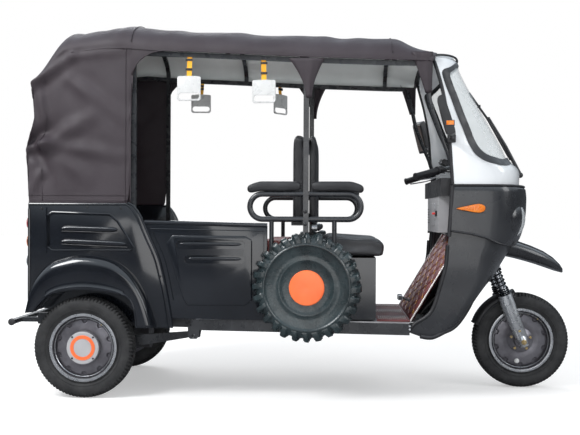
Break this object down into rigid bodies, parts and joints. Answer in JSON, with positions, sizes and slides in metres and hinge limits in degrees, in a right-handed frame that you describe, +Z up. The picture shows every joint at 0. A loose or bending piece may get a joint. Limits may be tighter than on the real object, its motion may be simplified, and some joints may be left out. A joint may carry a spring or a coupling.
{
  "type": "electric auto rickshaw",
  "caption": "Three-wheeled electric passenger rickshaw with a folding-hood canopy, open left side and raked front fork.",
  "frame": {"origin": "on the ground under the middle of the vehicle's box", "axes": "+X forward, +Y the vehicle's left, +Z up"},
  "size_m": [2.8, 1.22, 1.862],
  "materials": {
    "frame_paint": "gloss black tube",
    "body_paint": "deep gloss black",
    "floor_steel": "satin plate",
    "mat_vinyl": "quilted burgundy vinyl with gold stitching",
    "seat_vinyl": "burgundy vinyl",
    "black_vinyl": "satin black vinyl",
    "battery_case": "matt",
    "hood_fabric": "matt coated canvas",
    "handle_plastic": "milky translucent plate on a yellow strap",
    "white_shell": "gloss white",
    "screen_glass": "clear",
    "seal_rubber": "satin",
    "black_plastic": "fine grain",
    "charcoal_shell": "satin charcoal",
    "lamp_lens": "clear lens",
    "amber_lens": "amber lens",
    "red_lens": "red, amber and clear lenses",
    "grey_plastic": "fine grain",
    "cover_plastic": "moulded black with an orange disc",
    "axle_steel": "satin",
    "fork_metal": "satin silver",
    "tyre_rubber": "moulded tread",
    "rim_paint": "satin grey"
  },
  "bodies": {
    "root": {"chassis_frame": "frame_paint", "floor_panel": "floor_steel", "floor_mats": "mat_vinyl", "body_sides": "body_paint", "body_rear_panel": "body_paint", "wheel_houses": "body_paint", "rear_fenders": "body_paint", "side_panel_right": "body_paint", "bench_base": "body_paint", "bench_cushion": "seat_vinyl", "bench_back": "seat_vinyl", "battery_pack": "battery_case", "seat_box": "body_paint", "driver_cushion": "black_vinyl", "middle_cushion": "seat_vinyl", "backrests": "black_vinyl", "armrest_frames": "frame_paint", "armrest_pads": "black_vinyl", "roof_frame": "frame_paint", "canopy_roof": "hood_fabric", "canopy_sides": "hood_fabric", "canopy_back": "hood_fabric", "canopy_gussets": "hood_fabric", "grab_handles": "handle_plastic", "upper_cowl": "white_shell", "windscreen": "screen_glass", "windscreen_seal": "seal_rubber", "wiper": "black_plastic", "lower_cowl": "charcoal_shell", "headlamps": "lamp_lens", "indicators": "amber_lens", "front_beak": "charcoal_shell", "kick_panel": "mat_vinyl", "dashboard": "black_plastic", "glovebox": "grey_plastic", "mirrors": "black_plastic", "rear_bumper": "frame_paint", "tail_lamps": "red_lens", "spare_covers": "cover_plastic", "rear_axle": "axle_steel", "trailing_arms": "frame_paint", "rear_springs": "frame_paint"},
    "steering": {"fork": "fork_metal", "fork_springs": "frame_paint", "front_mudguard": "black_plastic", "handlebar": "frame_paint", "instrument_pod": "black_plastic"},
    "front_wheel": {"front_tyre": "tyre_rubber", "front_rim": "rim_paint"},
    "rear_wheel_right": {"rear_tyre_right": "tyre_rubber", "rear_rim_right": "rim_paint"},
    "rear_wheel_left": {"rear_tyre_left": "tyre_rubber", "rear_rim_left": "rim_paint"}
  },
  "joints": [
    {"name": "steering_turn", "type": "hinge", "parent": "root", "child": "steering", "pos_m": [1.155, 0, 0.245], "axis": [-0.3584, 0, 0.9336], "range_deg": [-35, 35]},
    {"name": "front_wheel_spin", "type": "hinge", "parent": "steering", "child": "front_wheel", "pos_m": [1.155, 0, 0.245], "axis": [0, 1, 0], "continuous": true},
    {"name": "rear_wheel_right_spin", "type": "hinge", "parent": "root", "child": "rear_wheel_right", "pos_m": [-1.021, -0.43, 0.245], "axis": [0, 1, 0], "continuous": true},
    {"name": "rear_wheel_left_spin", "type": "hinge", "parent": "root", "child": "rear_wheel_left", "pos_m": [-1.021, 0.43, 0.245], "axis": [0, 1, 0], "continuous": true}
  ]
}
